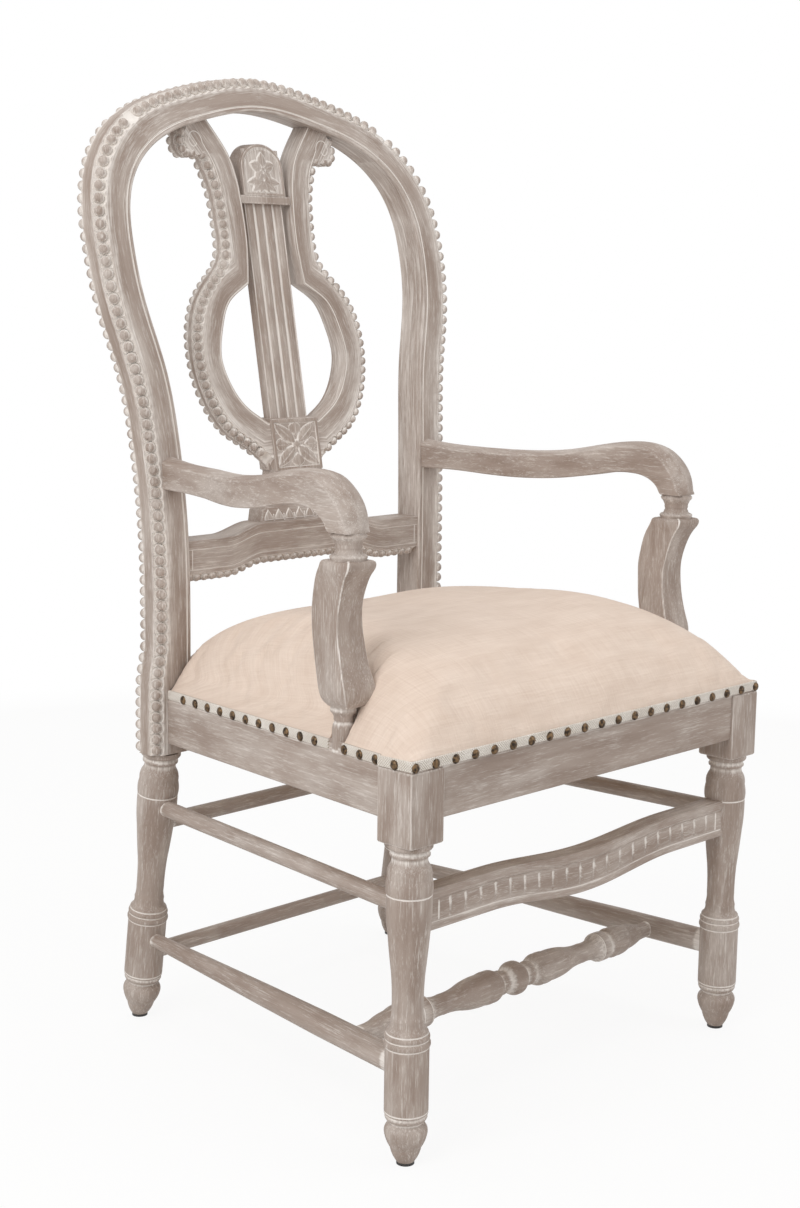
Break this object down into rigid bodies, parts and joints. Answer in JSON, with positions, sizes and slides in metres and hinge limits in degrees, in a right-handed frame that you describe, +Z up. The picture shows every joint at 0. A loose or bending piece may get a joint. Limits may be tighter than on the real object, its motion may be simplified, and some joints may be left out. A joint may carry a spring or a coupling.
{
  "type": "lyre back armchair",
  "caption": "Limed wood armchair with a hooped back round a lyre splat, scrolled arms, turned legs and stretchers, and a crowned upholstered seat.",
  "frame": {"origin": "on the floor under the middle of the chair's own box", "axes": "+X to the sitter's left, +Y to the rear, +Z up; the chair faces -Y"},
  "size_m": [0.6288, 0.6574, 1.205],
  "materials": {
    "limed_wood": "matt limed finish, white wax in the grain and carving",
    "beech": "raw sawn",
    "birch_ply": "raw plywood",
    "seat_fabric": "plain linen weave",
    "woven_tape": "woven gimp tape",
    "aged_brass": "antiqued",
    "screw_steel": "zinc plated",
    "glide_plastic": "dark nylon"
  },
  "bodies": {
    "root": {"arm_left": "limed_wood", "arm_plugs": "limed_wood", "arm_right": "limed_wood", "arm_screws": "screw_steel", "arm_support_left": "limed_wood", "arm_support_right": "limed_wood", "centre_stretcher": "limed_wood", "corner_block_front_left": "beech", "corner_block_front_right": "beech", "corner_block_rear_left": "beech", "corner_block_rear_right": "beech", "corner_block_screws": "screw_steel", "crest_dowels": "beech", "crest_rail": "limed_wood", "cross_rail": "limed_wood", "foot_glides": "glide_plastic", "front_leg_left": "limed_wood", "front_leg_right": "limed_wood", "front_rail": "limed_wood", "front_stretcher": "limed_wood", "lyre_column": "limed_wood", "lyre_dowels": "beech", "lyre_frame": "limed_wood", "lyre_pedestal": "limed_wood", "lyre_tablet": "limed_wood", "rear_post_left": "limed_wood", "rear_post_right": "limed_wood", "rear_rail": "limed_wood", "rear_stretcher_lower": "limed_wood", "rear_stretcher_upper": "limed_wood", "rosette_block": "limed_wood", "seat_board": "birch_ply", "seat_cushion": "seat_fabric", "seat_trim": "woven_tape", "side_rail_left": "limed_wood", "side_rail_right": "limed_wood", "side_stretcher_lower_left": "limed_wood", "side_stretcher_lower_right": "limed_wood", "side_stretcher_upper_left": "limed_wood", "side_stretcher_upper_right": "limed_wood", "upholstery_nails": "aged_brass"}
  },
  "joints": []
}
